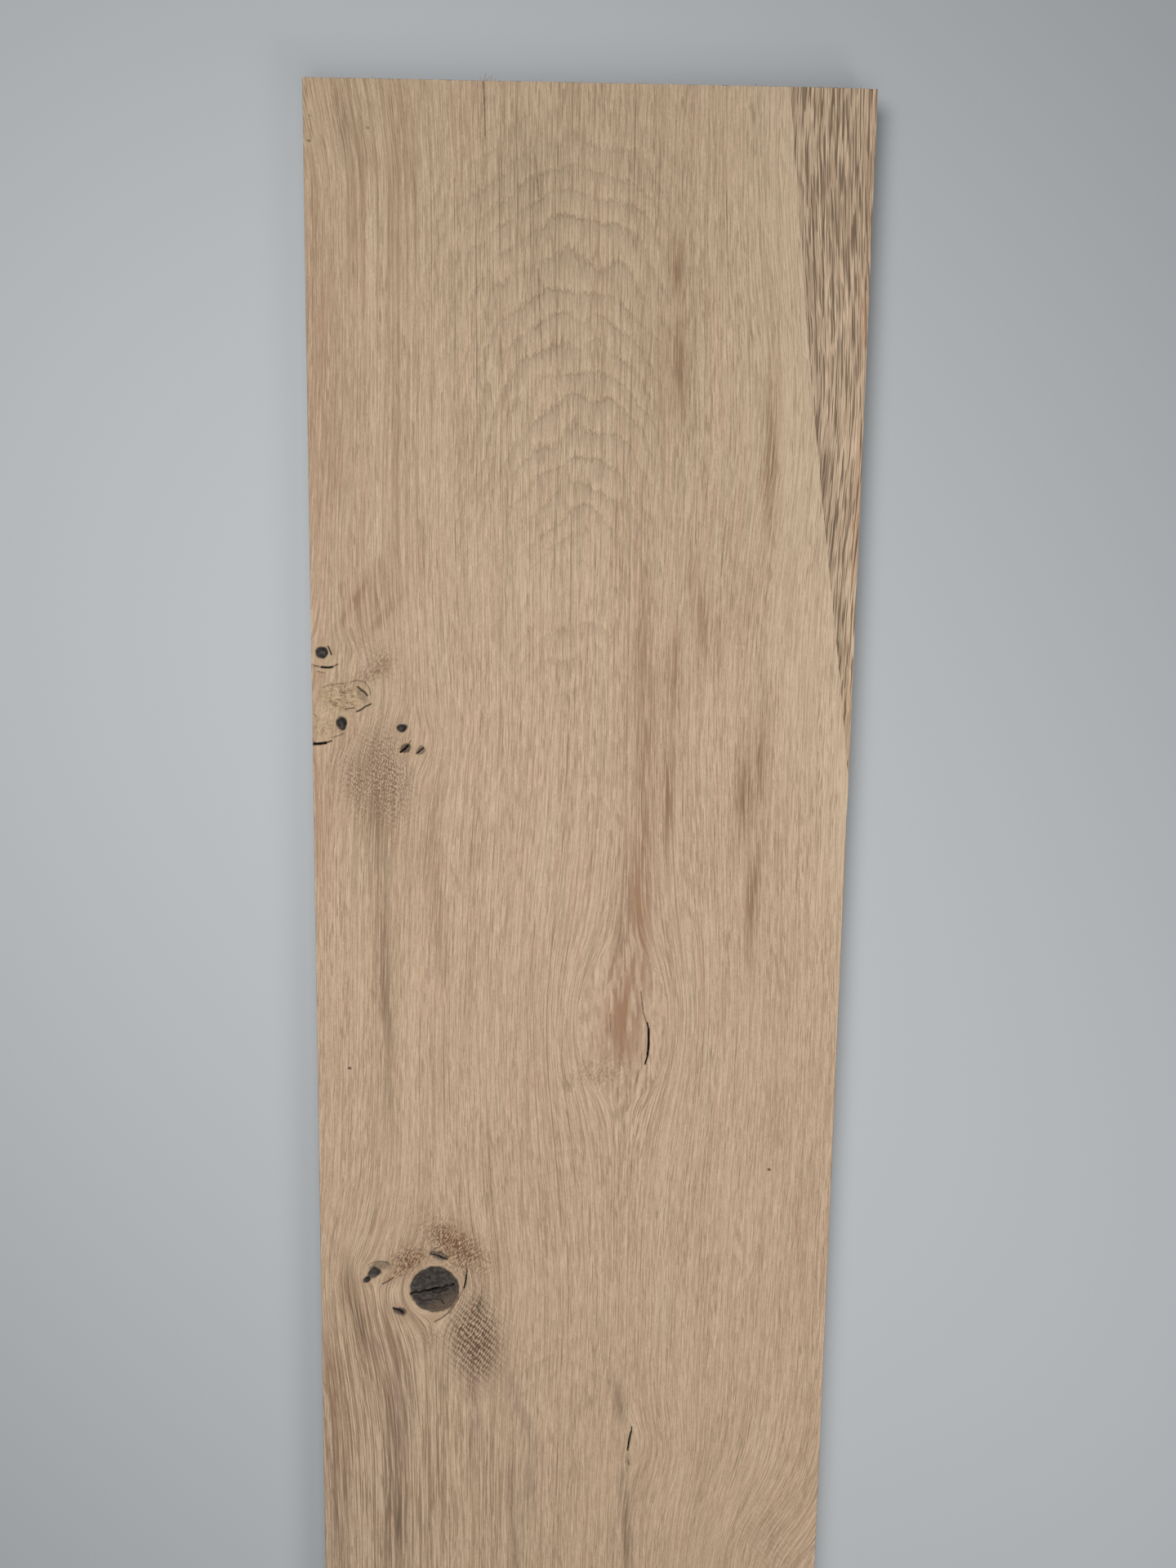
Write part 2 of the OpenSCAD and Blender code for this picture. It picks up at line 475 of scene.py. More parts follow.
crack = np.zeros(len(x))
cut_in = np.zeros(len(x))
for check in CHECKS:
    far = crack_distance(x, down, check.points)
    half = check.width / 2
    cut_in = np.maximum(cut_in, check.depth * MM * np.clip(CRACK_WALL - far / half, 0, 1))
    # The crack mask is painted shade that blackens the cracks, slits and holes; cut_in carves them in as
    # well.
    crack = np.maximum(crack, check.dark * (1 - smooth(half - CRACK_INNER_MM, half + CRACK_SOFT_MM, far)))
depth += cut_in * on_top
for chip in CHIPS_DOWN:
    far = np.hypot(x - LEFT, down - chip)
    depth += np.sqrt(np.maximum(CHIP_RADIUS**2 - far**2, 0)) * on_top
print(f"deepest point {depth.max() / MM:.1f} mm below the face")

# %% Move the points
BORDER_BOW = 1.9 * MM
BORDER_BOW_LENGTH = 300 * MM
BORDER_RAGGED = 0.35 * MM
BORDER_SPREAD = 12 * MM
RAGGED = 0.8 * MM
RAGGED_STEP = 3 * MM
SAW_MARK = 0.12 * MM
SAW_MARK_STEPS = (3 * MM, 1, 9 * MM)
END_RAGGED = 0.3 * MM
END_RAGGED_STEP = 1.8 * MM

shaped = square.copy()
shaped[:, 2] = z * (1 - depth / THICKNESS)
by_border = np.abs(past) < 3 * BORDER_SPREAD
inside = np.abs(x) < WIDTH / 2 - ARRIS - TOUCH
bow = BORDER_BOW * np.sin(np.pi * np.clip(down[by_border] / BORDER_BOW_LENGTH, 0, 1))
bow += BORDER_RAGGED * rough(square[by_border], (1, 2 * RAGGED_STEP, 1), seed=6.1)
bow *= np.exp(-((past[by_border] / BORDER_SPREAD) ** 2)) * (on_top & inside)[by_border]
shaped[by_border, 0] -= bow
corner = (np.abs(x) > WIDTH / 2 - TOUCH) & ((z < TOUCH) | on_top)
shaped[corner, 0] -= np.sign(x[corner]) * ARRIS_PULL
shaped[corner, 2] += np.where(on_top[corner], -ARRIS_PULL, ARRIS_PULL)
border = corner & on_top & on_rough
shaped[border, 0] -= RAGGED * (0.5 + 0.5 * rough(square[border], (1, RAGGED_STEP, 1), seed=2.9))
on_end = np.abs(y) > LENGTH / 2 - TOUCH
saw_marks = 1 + rough(square[on_end], SAW_MARK_STEPS, seed=5.3)
shaped[on_end, 1] -= np.sign(y[on_end]) * SAW_MARK * saw_marks
end_line = on_end & on_top
end_rough = 0.5 + 0.5 * rough(square[end_line], (END_RAGGED_STEP, 1, 1), seed=7.7)
shaped[end_line, 1] -= np.sign(y[end_line]) * END_RAGGED * end_rough
mesh.vertices.foreach_set("co", shaped.ravel())
mesh.update()
print(f"points moved by up to {np.abs(shaped - square).max() / MM:.1f} mm")

# %% [markdown]
# ## The run of the grain
# Oak's fibres run along the trunk and swing round every knot, as water does round a stone, and
# crowd beside it. So the wood needs coordinates of its own: one that stays the same along a fibre,
# which is the place across the board with each knot's push taken off, by the formula for water
# round a post, and with each place taken off where the fibres sway to a side.
# The growth rings are cylinders round the heart of the trunk, which lies under the face, so an end
# shows them as arcs. The face cuts them at a slant, in arches that are flat at the sawn end and
# pointed further down, and wider on their left. The finishes read all of this from the points.

# %% Grain
PUSH_SEEN = 2.8
PUSH_RIM = (0.7, 1.3)
LEAST_FLOW = 0.4
GRAIN_WANDER = 1.2 * MM
GRAIN_WANDER_STEPS = (45 * MM, 140 * MM, 45 * MM)


class Push(NamedTuple):
    across: float  # from the left-hand edge, in millimetres
    down: float  # from the sawn end
    radius: float
    stretch: float  # how much longer along the grain than across it
    share: float = 0.96  # how much of the fibres' way is closed


class Sway(NamedTuple):
    across: float
    down: float
    shift: float  # how far the fibres bow to the right there
    wide: float
    before: float  # the length over which the bow comes, and the one over which it goes
    after: float


PUSHES = [
    Push(8, 320, 24, 1.3, 0.6),
    Push(55, 345, 10, 1.3, 0.6),
    Push(67, 671, 15.5, 1.1),
    Push(33, 661, 7, 1.0, 0.8),
    Push(176, 508, 26, 1.8, 0.7),
    Push(184, 768, 7, 2.0, 0.5),
]
SWAYS = [
    Sway(0, 58, 14, 60, 55, 280),
    Sway(262, 165, 11, 50, 95, 95),
    Sway(28, 668, -9, 30, 45, 70),
    Sway(203, 775, 5, 22, 24, 30),
    Sway(265, 860, -34, 42, 60, 150),
]

fibre_place = x - LEFT + GRAIN_WANDER * rough(square, GRAIN_WANDER_STEPS, seed=4.4)
for sway in SWAYS:
    aside = ((x - LEFT) / MM - sway.across) / sway.wide
    along = down / MM - sway.down
    along = along / np.where(along < 0, sway.before, sway.after)
    fibre_place = fibre_place - sway.shift * MM * np.exp(-(aside**2) - along**2)
flow = np.full(len(x), LEAST_FLOW)
clear = np.ones(len(x))
for push in PUSHES:
    dx = (x - LEFT) - push.across * MM
    dy = (down - push.down * MM) / push.stretch
    near = (dx**2 + dy**2) / (push.radius * MM) ** 2
    fibre_place = fibre_place - dx * push.share / np.maximum(near, 1)
    flow = np.maximum(flow, push.share * np.exp(-near / PUSH_SEEN**2))
    clear = np.minimum(clear, 1 - push.share * (1 - smooth(*PUSH_RIM, near)))
print("fibres pushed aside in", len(PUSHES), "places and swayed in", len(SWAYS))

# %% Rings and arches
RING_PITCH = 2.3 * MM
HEART_FROM_LEFT = 146 * MM
HEART_DEPTH = 75 * MM
ARCH_PITCH = 15 * MM
ARCH_BEND_LEFT = (110 * MM, 48 * MM)
ARCH_BEND_RIGHT = (60 * MM, 42 * MM)
ARCH_BEND_DOWN = (60 * MM, 210 * MM)

heart_depth = HEART_DEPTH - (FACE - z)
from_heart = fibre_place - HEART_FROM_LEFT
ring_number = np.hypot(from_heart, heart_depth) / RING_PITCH
ray_angle = np.arctan2(from_heart, heart_depth)
pointed = smooth(*ARCH_BEND_DOWN, down)
bend_left, bend_right = (
    first + (last - first) * pointed for first, last in (ARCH_BEND_LEFT, ARCH_BEND_RIGHT)
)
arch_fall = from_heart**2 / np.where(from_heart < 0, bend_left, bend_right)
arch_number = (down - arch_fall) / ARCH_PITCH
print(f"rings {ring_number.min():.0f} to {ring_number.max():.0f} from the heart")

# %% [markdown]
# ## Stains
# Brown and grey streaks, reddish wood by the knots and mottled patches are soft clouds that follow
# the grain. Each is a short line with a width, and the finishes break it up into fibres. Where the
# fibres dive into the face beside a knot they are cut into short flecks, and the burl on the
# left-hand edge is a speckled oval.

# %% Streaks
# Each streak is its start and its stop, both (across, down), its half width, all in millimetres,
# and its strength
STREAKS = {
    "brown": [  # brown streaks
        ((195, 70), (198, 112), 3.2, 1.0),
        ((197, 110), (201, 165), 3.2, 0.95),
        ((188, 110), (186, 180), 9, 0.3),
        ((250, 135), (251, 245), 4, 0.8),
        ((183, 220), (186, 490), 5.5, 0.75),
        ((199, 325), (199, 425), 3, 1.0),
        ((250, 320), (250, 392), 3, 1.0),
        ((242, 350), (242, 402), 5, 0.9),
        ((249, 390), (247, 468), 3.6, 1.0),
        ((200, 270), (201, 340), 3.4, 0.75),
        ((203, 228), (222, 304), 5, 0.55),
        ((176, 482), (177, 528), 9, 0.6),
        ((181, 370), (179, 500), 9, 0.5),
        ((182, 425), (184, 495), 5, 0.85),
        ((11, 289), (40, 246), 3, 0.8),
        ((22, 298), (55, 258), 3, 0.7),
        ((18, 290), (46, 246), 13, 0.45),
        ((29, 312), (46, 298), 3, 0.8),
        ((14, -4), (27, 36), 2.6, 0.55),
        ((24, -4), (42, 70), 2.6, 0.4),
        ((50, -4), (60, 70), 3, 0.35),
        ((12, 60), (14, 300), 16, 0.3),
        ((72, 636), (79, 650), 6, 0.85),
        ((78, 640), (90, 652), 6, 0.5),
        ((46, 658), (58, 652), 6, 0.6),
        ((14, 655), (30, 722), 4.5, 0.85),
        ((26, 700), (46, 770), 5, 0.65),
        ((2, 690), (10, 780), 4, 0.75),
        ((35, 385), (41, 560), 4.5, 0.65),
        ((26, 346), (44, 405), 14, 0.75),
        ((64, 356), (73, 505), 4, 0.45),
        ((90, 686), (92, 722), 12, 0.75),
    ],
    "grey": [  # grey streaks
        ((17, 12), (27, 44), 5, 0.4),
        ((39, 395), (42, 585), 2.2, 0.6),
        ((34, 370), (39, 440), 6, 0.45),
        ((45, 715), (45, 900), 1.8, 1.0),
        ((38, 725), (38, 910), 1.8, 1.0),
        ((52, 715), (53, 770), 2.0, 0.6),
        ((111, 740), (118, 890), 2.4, 0.7),
        ((4, 760), (10, 890), 5, 0.5),
        ((16, 652), (19, 676), 2, 0.55),
        ((15, 668), (28, 712), 3, 0.8),
        ((94.8, 674), (93.4, 688), 2.2, 1.2),
        ((182, 782), (185, 870), 3, 0.75),
        ((176, 728), (182, 760), 3, 0.75),
        ((119, 30), (125, 75), 22, 0.2),
    ],
    "red": [  # reddish wood by the knots and along the left-hand edge
        ((4, 20), (6, 300), 12, 0.3),
        ((50, 350), (61, 350), 5, 0.35),
        ((183, 400), (185.8, 490), 4.5, 0.8),
        ((176, 470), (177, 530), 9, 0.8),
        ((166, 498), (167, 527), 3.5, 0.6),
        ((172, 526), (182, 527), 3, 0.4),
        ((70, 632), (92, 656), 9, 0.8),
        ((76, 640), (88, 650), 6, 0.8),
        ((44, 657), (60, 651), 7, 0.75),
        ((39, 668), (50, 656), 3.5, 0.85),
        ((44, 689), (51, 686), 4, 0.4),
        ((2, 310), (12, 309), 4, 0.5),
        ((2, 352), (5, 430), 4, 0.6),
    ],
    "purple": [  # mottled wood by the knots
        ((36, 338), (44, 384), 11, 0.45),
        ((20, 352), (28, 378), 7, 0.3),
        ((47, 337), (52, 334), 4, 0.5),
        ((28, 317), (29, 324), 2.4, 0.6),
        ((28, 700), (35, 718), 5, 0.55),
        ((42, 706), (47, 790), 5, 0.5),
        ((42, 682), (52, 689), 5, 0.7),
        ((88, 720), (95, 778), 3.2, 0.7),
        ((106, 712), (130, 780), 3, 0.7),
        ((123, 775), (125, 818), 3, 0.65),
        ((93, 700), (97, 740), 10, 0.4),
    ],
    "band": [  # broad bands in the left-hand half
        ((26, -10), (46, 120), 30, 1.0),
        ((48, 60), (50, 280), 20, 0.8),
    ],
    "scale": [  # short scales round the burl and under the dead knot
        ((36, 340), (45, 388), 12, 1.2),
        ((20, 352), (29, 384), 9, 0.9),
        ((30, 290), (45, 312), 9, 0.4),
        ((54, 702), (76, 703), 7, 0.5),
    ],
    "fleck": [  # rows of dark flecks
        ((90, 684), (92, 721), 13, 1.5),
        ((262, 810), (290, 880), 16, 0.18),
    ],
    "curl": [  # curly fibres beside the knots
        ((66, 633), (93, 657), 11, 1.3),
        ((44, 657), (60, 650), 8, 1.2),
        ((40, 665), (50, 658), 3, 0.8),
        ((27, 314), (42, 298), 6, 0.6),
        ((150, 540), (178, 533), 9, 0.5),
    ],
    "burl": [  # the speckled burl on the left-hand edge
        ((10, 321.5), (25, 321.5), 8, 1.6),
        ((4, 338), (10, 338), 8, 0.8),
    ],
    "line": [  # fibres that show as bold lines
        ((24, 640), (50, 900), 50, 1.4),
        ((20, 0), (44, 110), 30, 0.35),
        ((70, 690), (120, 900), 30, 0.8),
        ((205, 786), (198, 822), 16, 0.6),
        ((70, 450), (78, 620), 30, 0.5),
        ((20, 620), (34, 640), 16, 0.8),
    ],
}
STREAK_TAPER = 0.8
STREAK_TIP = 0.6


def stain(kind):
    """How strong one kind of stain is at each point: each streak is a lens, soft all round."""
    amount = np.zeros(len(x))
    for start, stop, width, strength in STREAKS[kind]:
        run = np.subtract(stop, start)
        length = math.hypot(*run)
        middle = np.add(start, stop) / 2
        dx = (x - LEFT) / MM - middle[0]
        dy = down / MM - middle[1]
        along = (dx * run[0] + dy * run[1]) / length
        aside = (dx * run[1] - dy * run[0]) / length
        reach = STREAK_TAPER * length / 2 + STREAK_TIP * width
        lens = np.exp(-((along / reach) ** 2) - (aside / width) ** 2)
        amount = np.maximum(amount, strength * lens)
    return np.minimum(amount, 1)


print(sum(map(len, STREAKS.values())), "streaks of", len(STREAKS), "kinds")

# %% Values for the finishes


def store(name, *columns):
    """Keeps three values for each point of the mesh, under a name that the finishes read."""
    rows = np.stack(columns, 1).astype(np.float32)
    mesh.attributes.new(name, "FLOAT_VECTOR", "POINT").data.foreach_set("vector", rows.ravel())


SAPWOOD_WIDTH = 30 * MM
SAPWOOD_END = (330 * MM, 560 * MM)
ARCH_WIDTH_LEFT = 80 * MM
ARCH_WIDTH_RIGHT = 46 * MM
ARCH_START = (-10 * MM, 70 * MM)
ARCH_END = (170 * MM, 300 * MM)
# Each lower group of arches: its middle and half its length, in millimetres, and its strength
LOW_ARCHES = ((290, 40, 0.5), (590, 30, 0.3), (715, 35, 0.4))
PLAIN_ARCH = 0.1
RAYS_FROM_LEFT = 125 * MM
RAYS_WIDTH = 95 * MM
LEAST_RAYS = 0.35

sapwood = np.exp(-((np.minimum(past, 0) / SAPWOOD_WIDTH) ** 2)) * (1 - smooth(*SAPWOOD_END, down))
by_end = smooth(*ARCH_START, down) * (1 - smooth(*ARCH_END, down))
arch_width = np.where(from_heart < 0, ARCH_WIDTH_LEFT, ARCH_WIDTH_RIGHT)
by_heart = np.exp(-((from_heart / arch_width) ** 2))
arch = by_heart * by_end
for middle, half_length, strength in LOW_ARCHES:
    low_arch = by_heart * np.exp(-(((down / MM - middle) / half_length) ** 2))
    arch = np.maximum(arch, strength * low_arch)
arch = np.maximum(arch, PLAIN_ARCH)
rays = np.maximum(np.exp(-(((fibre_place - RAYS_FROM_LEFT) / RAYS_WIDTH) ** 2)), LEAST_RAYS)
store("grain", fibre_place, down, z)
store("ring", ring_number, ray_angle, np.maximum(flow, stain("line")) * clear)
store("arch", arch_number, arch, rays)
# The knot values: its heart, its pale collar, and the painted shade of the cracks.
store("knot", core * on_top, halo * on_top, crack * on_top)
store("heart", nearest_ring, browner, stain("band"))
store("stain", stain("brown"), stain("grey"), stain("red"))
store("patch", stain("purple"), stain("fleck"), stain("burl"))
store("figure", stain("scale"), stain("curl"), np.zeros(len(x)))
store("log", sapwood, fibre, np.maximum(past, 0) / ROUGH_WIDTH)
print("values stored on", len(x), "points")

# %% [markdown]
# ## How a finish is written
# A material is a web of small nodes, and most of them do one of a few jobs: read a value stored on
# the mesh, make noise that is stretched along the grain, turn a value into a share from 0 to 1, or
# lay one colour over another. A short method for each job keeps the finishes readable.

# %% Finish helper


def paint(red, green, blue):
    """An 8-bit screen colour as the linear colour that a shader takes."""
    linear = []
    for value in (red, green, blue):
        share = value / 255
        linear.append(share / 12.92 if share <= 0.04045 else ((share + 0.055) / 1.055) ** 2.4)
    return (*linear, 1.0)


MATT_SHEEN = 0.2
NOISE_TURN = math.radians(40)


class Finish:
    """A material's node tree."""

    def __init__(self, name):
        self.material = bpy.data.materials.new(name)
        self.material.use_nodes = True
        self.tree = self.material.node_tree
        self.shader = self.tree.nodes["Principled BSDF"]

    def add(self, kind, **settings):
        """A new node of a kind, with its settings."""
        made = self.tree.nodes.new("ShaderNode" + kind)
        for key, value in settings.items():
            setattr(made, key, value)
        return made

    def feed(self, socket, value):
        """Links a socket to another one, or sets it to a plain value."""
        if isinstance(value, bpy.types.NodeSocket):
            self.tree.links.new(value, socket)
        else:
            socket.default_value = value

    def math(self, operation, first, second=0.0):
        made = self.add("Math", operation=operation)
        self.feed(made.inputs[0], first)
        self.feed(made.inputs[1], second)
        return made.outputs[0]

    def times(self, first, second):
        return self.math("MULTIPLY", first, second)

    def total(self, *weighted):
        """The sum of values, each given with its weight and taken from its own middle, 0.5."""
        added = 0.5
        for value, weight in weighted:
            added = self.math("ADD", added, self.times(self.math("SUBTRACT", value, 0.5), weight))
        return added

    def share(self, value, start, stop, least=0.0, most=1.0):
        """least before start, most after stop and a soft rise between."""
        made = self.add("MapRange", interpolation_type="SMOOTHSTEP")
        for socket, given in zip(made.inputs, (value, start, stop, least, most)):
            self.feed(socket, given)
        return made.outputs[0]

    def blend(self, share, first, second):
        made = self.add("Mix", data_type="RGBA")
        self.feed(made.inputs["Factor"], share)
        self.feed(made.inputs[6], first)
        self.feed(made.inputs[7], second)
        return made.outputs[2]

    def lay(self, colour, *layers):
        """The colour with layers over it, each given as an amount, the most that it covers and its paint."""
        for amount, most, layer_paint in layers:
            colour = self.blend(self.times(amount, most), colour, layer_paint)
        return colour

    def parts(self, vector):
        """The three values of a vector."""
        split = self.add("SeparateXYZ")
        self.feed(split.inputs[0], vector)
        return split.outputs[:]

    def attribute(self, name):
        return self.add("Attribute", attribute_name=name).outputs["Vector"]

    def stored(self, name):
        """The three values that the mesh keeps under a name."""
        return self.parts(self.attribute(name))

    def place(self):
        """Where a point lies on the object."""
        return self.add("TexCoord").outputs["Object"]

    def cloud(self, vector, kind, scale, turn, detail, shift):
        """Noise on a vector that is first scaled, turned and moved."""
        mapped = self.add("Mapping", vector_type=kind)
        self.feed(mapped.inputs["Vector"], vector)
        mapped.inputs["Scale"].default_value = scale
        mapped.inputs["Rotation"].default_value = (0, 0, turn)
        mapped.inputs["Location"].default_value = (shift, shift, shift)
        made = self.add("TexNoise")
        self.feed(made.inputs["Vector"], mapped.outputs[0])
        made.inputs["Scale"].default_value = 1.0
        made.inputs["Detail"].default_value = detail
        return made.outputs[0]

    def grain_noise(self, across_mm, along_mm, detail=1.0, shift=0.0):
        """Noise in streaks of about that width and length, which follow the fibres.

        It is turned, because the noise is made in square cells, whose rows would show across the grain.
        """
        across = 1 / (across_mm * MM)
        scale = (across, 1 / (along_mm * MM), across)
        return self.cloud(self.attribute("grain"), "POINT", scale, NOISE_TURN, detail, shift)

    def spot_noise(self, across_mm, along_mm, lean_deg=0.0, detail=2.0, shift=0.0):
        """Noise in spots of about that size, which lean to the right and don't follow the fibres."""
        scale = (across_mm * MM, along_mm * MM, across_mm * MM)
        return self.cloud(self.place(), "TEXTURE", scale, -math.radians(lean_deg), detail, shift)

    def stripes(self, lean_deg, pitch_mm, wobble):
        """Even stripes that lean to the right: 1 in the middle of each, 0 half way to the next."""
        lean = math.radians(lean_deg)
        step = 1 / (pitch_mm * MM)
        made = self.add("VectorMath", operation="DOT_PRODUCT")
        self.feed(made.inputs[0], self.place())
        made.inputs[1].default_value = (math.cos(lean) * step, -math.sin(lean) * step, 0)
        turns = self.math("ADD", made.outputs["Value"], wobble)
        return self.times(self.math("PINGPONG", turns, 0.5), 2.0)

    def colour(self, value):
        self.feed(self.shader.inputs["Base Color"], value)

    def matt(self, roughness):
        self.shader.inputs["Roughness"].default_value = roughness
        self.shader.inputs["Specular IOR Level"].default_value = MATT_SHEEN

    def bump(self, height, distance_mm, strength):
        made = self.add("Bump")
        made.inputs["Strength"].default_value = strength
        made.inputs["Distance"].default_value = distance_mm * MM
        self.feed(made.inputs["Height"], height)
        self.feed(self.shader.inputs["Normal"], made.outputs[0])


print("finish helper ready")

# %% [markdown]
# ## The planed face
# Planed oak is a mid tan with fine pale and dark fibres, short dark dashes where the plane has
# opened the pores, long thin rays, soft bands of spring wood along the rings, and the stains. The
# layers are laid in that order, each over the last, and the knots and cracks come on top.

# %% Oak's colours
OAK_PALE = paint(210, 184, 156)
OAK_DEEP = paint(166, 140, 113)
OAK_PINK = paint(192, 160, 134)
OAK_GREEN = paint(184, 165, 133)
OAK_BAND = paint(156, 127, 100)
OAK_LIGHT = paint(216, 194, 167)
ARCH_GREY = paint(146, 127, 109)
PORE = paint(120, 94, 72)
RAY = paint(100, 77, 58)
SAP = paint(222, 202, 173)
print("pale oak", [round(value, 2) for value in OAK_PALE])

# %% Rays and arches
RAY_PITCH = 6.5 * MM


def ray_strips(finish):
    """Strips along the fibres: the distance from the ray in each, and a chance value for each."""
    place, _, depth = finish.stored("grain")
    cells = finish.add("TexVoronoi", voronoi_dimensions="1D")
    finish.feed(cells.inputs["W"], finish.math("DIVIDE", finish.math("ADD", place, depth), RAY_PITCH))
    cells.inputs["Scale"].default_value = 1.0
    split = finish.add("SeparateColor")
    finish.feed(split.inputs[0], cells.outputs["Color"])
    return cells.outputs["Distance"], split.outputs[0]


def ray_lines(finish, distance, chance):
    """Long thin lines, broken here and there, and some fainter than others."""
    _, _, strength = finish.stored("arch")
    lines = finish.share(distance, 0.02, 0.075, 1.0, 0.0)
    breaks = finish.share(finish.grain_noise(6, 45, shift=37.0), 0.44, 0.6)
    lines = finish.times(lines, breaks)
    return finish.times(finish.times(lines, finish.share(chance, 0.0, 1.0, 0.25, 1.0)), strength)


def arch_bands(finish, chance):
    """Soft bands where the face cuts a ring at a slant, and the row of open pores on their edge."""
    number, strength, _ = finish.stored("arch")
    wander = finish.grain_noise(26, 45, shift=21.0)
    ragged = finish.grain_noise(0.8, 6, shift=23.0)
    for value, most in ((wander, 2.2), (chance, 0.1), (ragged, 0.6)):
        number = finish.math("ADD", number, finish.times(value, most))
    phase = finish.math("FRACT", number)
    patches = finish.share(finish.grain_noise(10, 18, shift=25.0), 0.32, 0.58, 0.4, 1.0)
    strength = finish.times(strength, patches)
    bands = finish.times(finish.share(phase, 0.0, 0.2), finish.share(phase, 0.2, 0.9, 1.0, 0.0))
    row = finish.times(finish.share(phase, 0.02, 0.08), finish.share(phase, 0.1, 0.22, 1.0, 0.0))
    return finish.times(bands, strength), finish.times(row, strength)


print("rays and arches ready")

# %% Fibres and pores


def wood_body(finish):
    """The fibres of plain oak: 0 in pale ones, 1 in dark ones."""
    threads = finish.grain_noise(0.55, 10)
    grains = finish.spot_noise(0.4, 1.6, detail=1.0, shift=0.83)
    long_lines = finish.grain_noise(0.8, 110, detail=0.0, shift=5.0)
    streams = finish.grain_noise(2.6, 200, shift=7.0)
    clouds = finish.grain_noise(9, 130, shift=13.0)
    fine = finish.total((threads, 1.25), (grains, 0.8), (long_lines, 0.45))
    body = finish.total((fine, 1.0), (streams, 0.12), (clouds, 0.22))
    return finish.share(body, 0.1, 0.9)


def open_pores(finish):
    """Short dark dashes, which are stronger in some stretches of the wood than in others."""
    dashes = finish.share(finish.grain_noise(0.52, 12, detail=0.0, shift=31.0), 0.57, 0.63)
    open_wood = finish.share(finish.grain_noise(7, 90, shift=29.0), 0.4, 0.6, 0.4, 1.0)
    return finish.times(dashes, open_wood)


def crowded_lines(finish):
    """The dark and the pale fibres that crowd round a knot, and the bold ones in the flow below it."""
    _, _, flow = finish.stored("ring")
    crowd = finish.grain_noise(0.65, 36, detail=0.0, shift=33.0)
    bold = finish.grain_noise(1.1, 120, detail=0.0, shift=35.0)
    dark_lines = finish.times(flow, finish.share(crowd, 0.55, 0.61))
    pale_lines = finish.times(flow, finish.share(crowd, 0.36, 0.44, 1.0, 0.0))
    bold_lines = finish.times(finish.share(flow, 0.6, 1.0), finish.share(bold, 0.5, 0.6))
    return dark_lines, pale_lines, bold_lines


print("fibres and pores ready")

# %% Clean oak
PINKER_DOWN = (0.1, 0.4)
TINT_SHARE = 0.3
SAP_PALER = 0.34


def fibre_colour(finish, body, pores):
    """The colour of clean oak."""
    _, down, _ = finish.stored("grain")
    _, _, band = finish.stored("heart")
    sapwood, _, _ = finish.stored("log")
    tint_clouds = finish.grain_noise(7, 120, shift=43.0)
    tint = finish.total((tint_clouds, 1.6), (finish.share(down, *PINKER_DOWN), 0.5))
    tint_paint = finish.blend(finish.share(tint, 0.15, 0.85), OAK_GREEN, OAK_PINK)
    bands = finish.share(finish.grain_noise(2.8, 260, shift=47.0), 0.42, 0.66)
    dark_lines, pale_lines, bold_lines = crowded_lines(finish)
    distance, chance = ray_strips(finish)
    arches, arch_pores = arch_bands(finish, chance)
    paler_body = finish.math("SUBTRACT", body, finish.times(sapwood, SAP_PALER))
    colour = finish.blend(paler_body, OAK_PALE, OAK_DEEP)
    return finish.lay(
        finish.blend(TINT_SHARE, colour, tint_paint),
        (sapwood, 0.22, SAP),
        (finish.times(band, bands), 0.75, OAK_BAND),
        (pale_lines, 0.4, OAK_LIGHT),
        (pores, 0.42, PORE),
        (dark_lines, 0.55, PORE),
        (bold_lines, 0.3, PORE),
        (arches, 0.32, ARCH_GREY),
        (arch_pores, 0.45, PORE),
        (ray_lines(finish, distance, chance), 0.6, RAY),
    )


print("clean oak ready")

# %% [markdown]
# ## Stains, figure and knots
# The stains stored on the mesh are soft, so each is broken up here into threads that follow the
# fibres. Beside a knot the wood is cut into short leaning scales, some dark and some pale. A knot
# has rings of its own round its heart, black wood with a browner side, and a pale collar. Painted
# shade blackens the cracks and holes over all of it.

# %% Stained and figured oak
BROWN = paint(130, 98, 72)
GREY = paint(104, 86, 69)
PURPLE = paint(136, 111, 99)
RED = paint(152, 114, 86)
FLECK = paint(84, 62, 45)
SCALE = paint(120, 94, 72)
FLECK_PALE = paint(196, 172, 146)
CURL_DARK = paint(102, 75, 56)
CURL_PALE = paint(208, 180, 148)
BURL = paint(184, 162, 124)


def stained_colour(finish, colour):
    brown, grey, red = finish.stored("stain")
    purple, _, _ = finish.stored("patch")
    threads = finish.share(finish.grain_noise(0.8, 26, shift=41.0), 0.38, 0.56, 0.2, 1.0)
    return finish.lay(
        colour,
        (brown, threads, BROWN),
        (grey, threads, GREY),
        (purple, threads, PURPLE),
        (red, threads, RED),
    )


def scales(finish, row_lean, row_mm, dash_lean, dash_mm):
    """Rows of short dashes, as on a fish: 1 in the middle of a dash, 0 between dashes and rows."""
    wobble = finish.times(finish.spot_noise(5, 5, shift=0.37), 1.2)
    rows = finish.stripes(row_lean, row_mm, wobble)
    dashes = finish.stripes(dash_lean, dash_mm, finish.times(wobble, 1.7))
    chance = finish.spot_noise(0.9, 2.6, lean_deg=dash_lean, detail=1.0, shift=0.39)
    return finish.total((rows, 0.45), (dashes, 0.45), (chance, 0.9))


